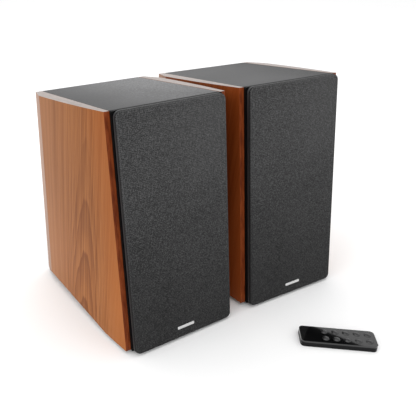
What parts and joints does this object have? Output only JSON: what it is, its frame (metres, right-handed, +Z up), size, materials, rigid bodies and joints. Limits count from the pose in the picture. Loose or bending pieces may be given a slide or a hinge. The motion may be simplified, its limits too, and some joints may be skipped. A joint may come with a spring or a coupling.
{
  "type": "pair of desktop speakers",
  "caption": "Pair of wood-sided bookshelf speakers for a desk with removable cloth grilles, side controls, rear amplifier panel and a slim remote.",
  "frame": {"origin": "middle of the whole set's footprint, on the desk", "axes": "+Z up, grilles face -Y, +X to the right of someone facing the grilles"},
  "size_m": [0.3271, 0.3419, 0.256],
  "materials": {
    "vinyl": "grained black vinyl wrap",
    "wood": "clear-lacquered wood with visible grain",
    "black_board": "matt black",
    "basket": "satin black",
    "magnet": "ground ferrite and zinc-plated steel",
    "cone": "coated paper cone",
    "rubber": "matt",
    "dome": "coated silk",
    "plastic": "fine matt texture",
    "gloss_black": "high gloss",
    "red_plastic": "glossy red",
    "cloth": "woven speaker cloth",
    "amp_plate": "black powder coat",
    "steel": "satin",
    "board": "green circuit board",
    "iron": "varnished laminations"
  },
  "bodies": {
    "left_speaker": {"left_cabinet": "vinyl", "left_outer_side": "wood", "left_inner_side": "wood", "left_baffle": "black_board", "left_woofer_basket": "basket", "left_woofer_magnet": "magnet", "left_woofer_suspension": "rubber", "left_tweeter": "plastic", "left_port_tube": "plastic", "left_terminal_cup": "plastic", "left_crossover": "board", "left_feet": "rubber", "left_screws": "steel"},
    "left_grille": {"left_grille_frame": "plastic", "left_grille_cloth": "cloth"},
    "left_cone": {"left_woofer_cone": "cone"},
    "left_dome": {"left_tweeter_dome": "dome"},
    "left_red_lever": {"left_terminal_red": "red_plastic"},
    "left_black_lever": {"left_terminal_black": "gloss_black"},
    "right_speaker": {"right_cabinet": "vinyl", "right_inner_side": "wood", "right_outer_side": "wood", "right_baffle": "black_board", "right_woofer_basket": "basket", "right_woofer_magnet": "magnet", "right_woofer_suspension": "rubber", "right_tweeter": "plastic", "right_port_tube": "plastic", "right_feet": "rubber", "right_screws": "steel", "amp_panel": "amp_plate", "rca_sockets": "plastic", "mains_inlet": "plastic", "output_cup": "plastic", "amp_board": "board", "transformer": "iron", "control_tray": "plastic"},
    "right_grille": {"right_grille_frame": "plastic", "right_grille_cloth": "cloth"},
    "right_cone": {"right_woofer_cone": "cone"},
    "right_dome": {"right_tweeter_dome": "dome"},
    "output_red_lever": {"output_red": "red_plastic"},
    "output_black_lever": {"output_black": "gloss_black"},
    "rocker": {"power_rocker": "gloss_black"},
    "treble": {"treble_knob": "plastic"},
    "bass": {"bass_knob": "plastic"},
    "volume": {"volume_knob": "plastic"},
    "remote": {"remote_base": "plastic", "remote_face": "gloss_black"},
    "tray": {"battery_tray": "plastic"},
    "key_1": {"remote_button_1": "gloss_black"},
    "key_2": {"remote_button_2": "gloss_black"},
    "key_3": {"remote_button_3": "gloss_black"},
    "key_4": {"remote_button_4": "gloss_black"},
    "key_5": {"remote_button_5": "gloss_black"},
    "key_6": {"remote_button_6": "gloss_black"},
    "key_7": {"remote_button_7": "gloss_black"},
    "key_8": {"remote_button_8": "gloss_black"},
    "key_9": {"remote_button_9": "gloss_black"},
    "key_10": {"remote_button_10": "gloss_black"}
  },
  "joints": [
    {"name": "right_speaker_place", "type": "slide", "parent": "left_speaker", "child": "right_speaker", "axis": [1, 0, 0], "range_m": [0, 0.08]},
    {"name": "remote_lift", "type": "slide", "parent": "left_speaker", "child": "remote", "axis": [0, 0, 1], "range_m": [0, 0.12]},
    {"name": "left_grille_pull", "type": "slide", "parent": "left_speaker", "child": "left_grille", "axis": [0, -0.9877, 0.1564], "range_m": [0, 0.04]},
    {"name": "left_cone_stroke", "type": "slide", "parent": "left_speaker", "child": "left_cone", "axis": [0, -0.9877, 0.1564], "range_m": [-0.003, 0.003], "stiffness_N_per_m": 1200, "deforming": ["left_woofer_suspension"]},
    {"name": "left_dome_stroke", "type": "slide", "parent": "left_speaker", "child": "left_dome", "axis": [0, -0.9877, 0.1564], "range_m": [-0.0003, 0.0003], "stiffness_N_per_m": 1500},
    {"name": "right_grille_pull", "type": "slide", "parent": "right_speaker", "child": "right_grille", "axis": [-0.0396, -0.9869, 0.1564], "range_m": [0, 0.04]},
    {"name": "right_cone_stroke", "type": "slide", "parent": "right_speaker", "child": "right_cone", "axis": [-0.0396, -0.9869, 0.1564], "range_m": [-0.003, 0.003], "stiffness_N_per_m": 1200, "deforming": ["right_woofer_suspension"]},
    {"name": "right_dome_stroke", "type": "slide", "parent": "right_speaker", "child": "right_dome", "axis": [-0.0396, -0.9869, 0.1564], "range_m": [-0.0003, 0.0003], "stiffness_N_per_m": 1500},
    {"name": "left_red_lever_press", "type": "hinge", "parent": "left_speaker", "child": "left_red_lever", "pos_m": [-0.0838, 0.1489, 0.051], "axis": [1, 0, 0], "range_deg": [0, 12], "stiffness_Nm_per_rad": 0.15},
    {"name": "left_black_lever_press", "type": "hinge", "parent": "left_speaker", "child": "left_black_lever", "pos_m": [-0.0838, 0.1489, 0.051], "axis": [1, 0, 0], "range_deg": [0, 12], "stiffness_Nm_per_rad": 0.15},
    {"name": "output_red_lever_press", "type": "hinge", "parent": "right_speaker", "child": "output_red_lever", "pos_m": [0.09855, 0.14855, 0.129], "axis": [0.9992, -0.0401, 0], "range_deg": [0, 12], "stiffness_Nm_per_rad": 0.15},
    {"name": "output_black_lever_press", "type": "hinge", "parent": "right_speaker", "child": "output_black_lever", "pos_m": [0.09855, 0.14855, 0.129], "axis": [0.9992, -0.0401, 0], "range_deg": [0, 12], "stiffness_Nm_per_rad": 0.15},
    {"name": "power_rocker_tip", "type": "hinge", "parent": "right_speaker", "child": "rocker", "pos_m": [0.05081, 0.15597, 0.044], "axis": [0.9992, -0.0401, 0], "range_deg": [0, 16]},
    {"name": "treble_turn", "type": "hinge", "parent": "right_speaker", "child": "treble", "pos_m": [0.15276, 0.10283, 0.201], "axis": [0.9992, -0.0401, 0], "range_deg": [-150, 150]},
    {"name": "bass_turn", "type": "hinge", "parent": "right_speaker", "child": "bass", "pos_m": [0.15276, 0.10283, 0.172], "axis": [0.9992, -0.0401, 0], "range_deg": [-150, 150]},
    {"name": "volume_turn", "type": "hinge", "parent": "right_speaker", "child": "volume", "pos_m": [0.15276, 0.10283, 0.143], "axis": [0.9992, -0.0401, 0], "range_deg": [-150, 150]},
    {"name": "battery_tray_pull", "type": "slide", "parent": "remote", "child": "tray", "axis": [-0.776, 0.6307, 0], "range_m": [0, 0.024]},
    {"name": "key_1_press", "type": "slide", "parent": "remote", "child": "key_1", "axis": [0, 0, -1], "range_m": [0, 0.0006], "stiffness_N_per_m": 600},
    {"name": "key_2_press", "type": "slide", "parent": "remote", "child": "key_2", "axis": [0, 0, -1], "range_m": [0, 0.0006], "stiffness_N_per_m": 600},
    {"name": "key_3_press", "type": "slide", "parent": "remote", "child": "key_3", "axis": [0, 0, -1], "range_m": [0, 0.0006], "stiffness_N_per_m": 600},
    {"name": "key_4_press", "type": "slide", "parent": "remote", "child": "key_4", "axis": [0, 0, -1], "range_m": [0, 0.0006], "stiffness_N_per_m": 600},
    {"name": "key_5_press", "type": "slide", "parent": "remote", "child": "key_5", "axis": [0, 0, -1], "range_m": [0, 0.0006], "stiffness_N_per_m": 600},
    {"name": "key_6_press", "type": "slide", "parent": "remote", "child": "key_6", "axis": [0, 0, -1], "range_m": [0, 0.0006], "stiffness_N_per_m": 600},
    {"name": "key_7_press", "type": "slide", "parent": "remote", "child": "key_7", "axis": [0, 0, -1], "range_m": [0, 0.0006], "stiffness_N_per_m": 600},
    {"name": "key_8_press", "type": "slide", "parent": "remote", "child": "key_8", "axis": [0, 0, -1], "range_m": [0, 0.0006], "stiffness_N_per_m": 600},
    {"name": "key_9_press", "type": "slide", "parent": "remote", "child": "key_9", "axis": [0, 0, -1], "range_m": [0, 0.0006], "stiffness_N_per_m": 600},
    {"name": "key_10_press", "type": "slide", "parent": "remote", "child": "key_10", "axis": [0, 0, -1], "range_m": [0, 0.0006], "stiffness_N_per_m": 600}
  ]
}
